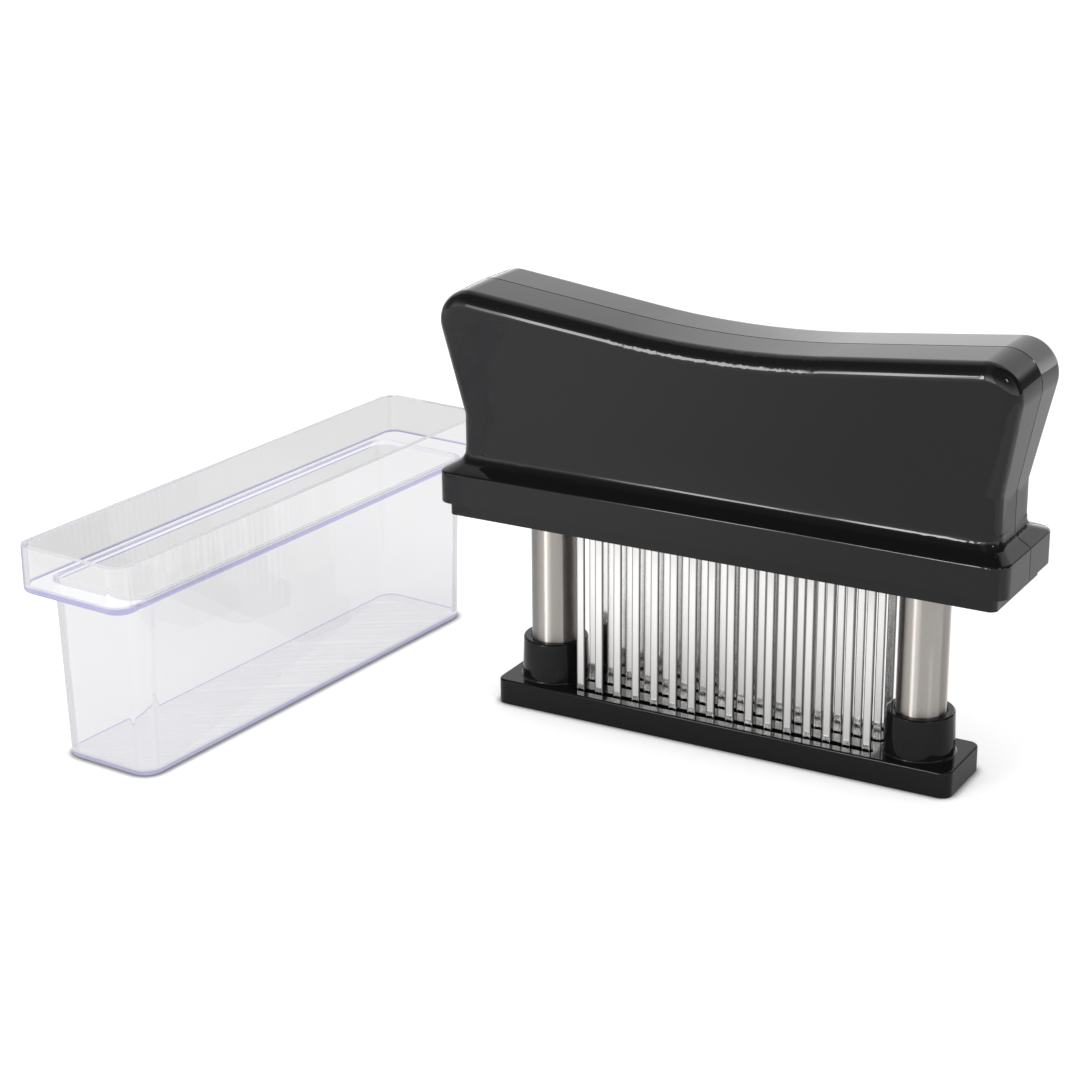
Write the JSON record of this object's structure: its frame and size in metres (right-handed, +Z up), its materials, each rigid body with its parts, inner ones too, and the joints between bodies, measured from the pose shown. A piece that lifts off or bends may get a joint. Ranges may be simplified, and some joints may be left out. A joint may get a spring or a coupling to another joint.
{
  "type": "blade meat tenderizer",
  "caption": "Spring-loaded press with rows of flat steel blades on two columns, a flared two-part handle, a slotted foot plate and a clear storage cover.",
  "frame": {"origin": "centre of the base plate's underside, where the tool stands", "axes": "+Z up along the columns, +X along the handle to its right end, -Y towards the front"},
  "size_m": [0.2265, 0.1552, 0.1132],
  "materials": {
    "black_plastic": "gloss",
    "column_steel": "brushed round the column",
    "bright_steel": "satin",
    "blade_steel": "polished",
    "spring_wire": "drawn wire",
    "grey_plastic": "moulded",
    "white_plastic": "moulded",
    "clear_plastic": "clear moulded plastic"
  },
  "bodies": {
    "guard": {"base_plate": "black_plastic", "left_column": "column_steel", "right_column": "column_steel", "left_column_core": "grey_plastic", "right_column_core": "grey_plastic", "left_stop_collar": "bright_steel", "right_stop_collar": "bright_steel", "left_spring": "spring_wire", "right_spring": "spring_wire", "column_screws": "bright_steel"},
    "handle": {"front_handle_shell": "black_plastic", "rear_handle_shell": "black_plastic", "blade_carrier": "black_plastic", "blade_clamp_plate": "bright_steel", "clamp_screws": "bright_steel", "carrier_screws": "bright_steel", "front_blade_row": "blade_steel", "middle_blade_row": "blade_steel", "rear_blade_row": "blade_steel", "front_blade_bar": "white_plastic", "middle_blade_bar": "white_plastic", "rear_blade_bar": "white_plastic"},
    "storage_cover": {"cover": "clear_plastic"}
  },
  "joints": [
    {"name": "plunge", "type": "slide", "parent": "guard", "child": "handle", "axis": [0, 0, -1], "range_m": [0, 0.034], "stiffness_N_per_m": 1060, "springref_m": -0.012, "deforming": ["left_spring", "right_spring"]},
    {"name": "cover_lift", "type": "slide", "parent": "guard", "child": "storage_cover", "axis": [0, 0, 1], "range_m": [0, 0.12]}
  ]
}
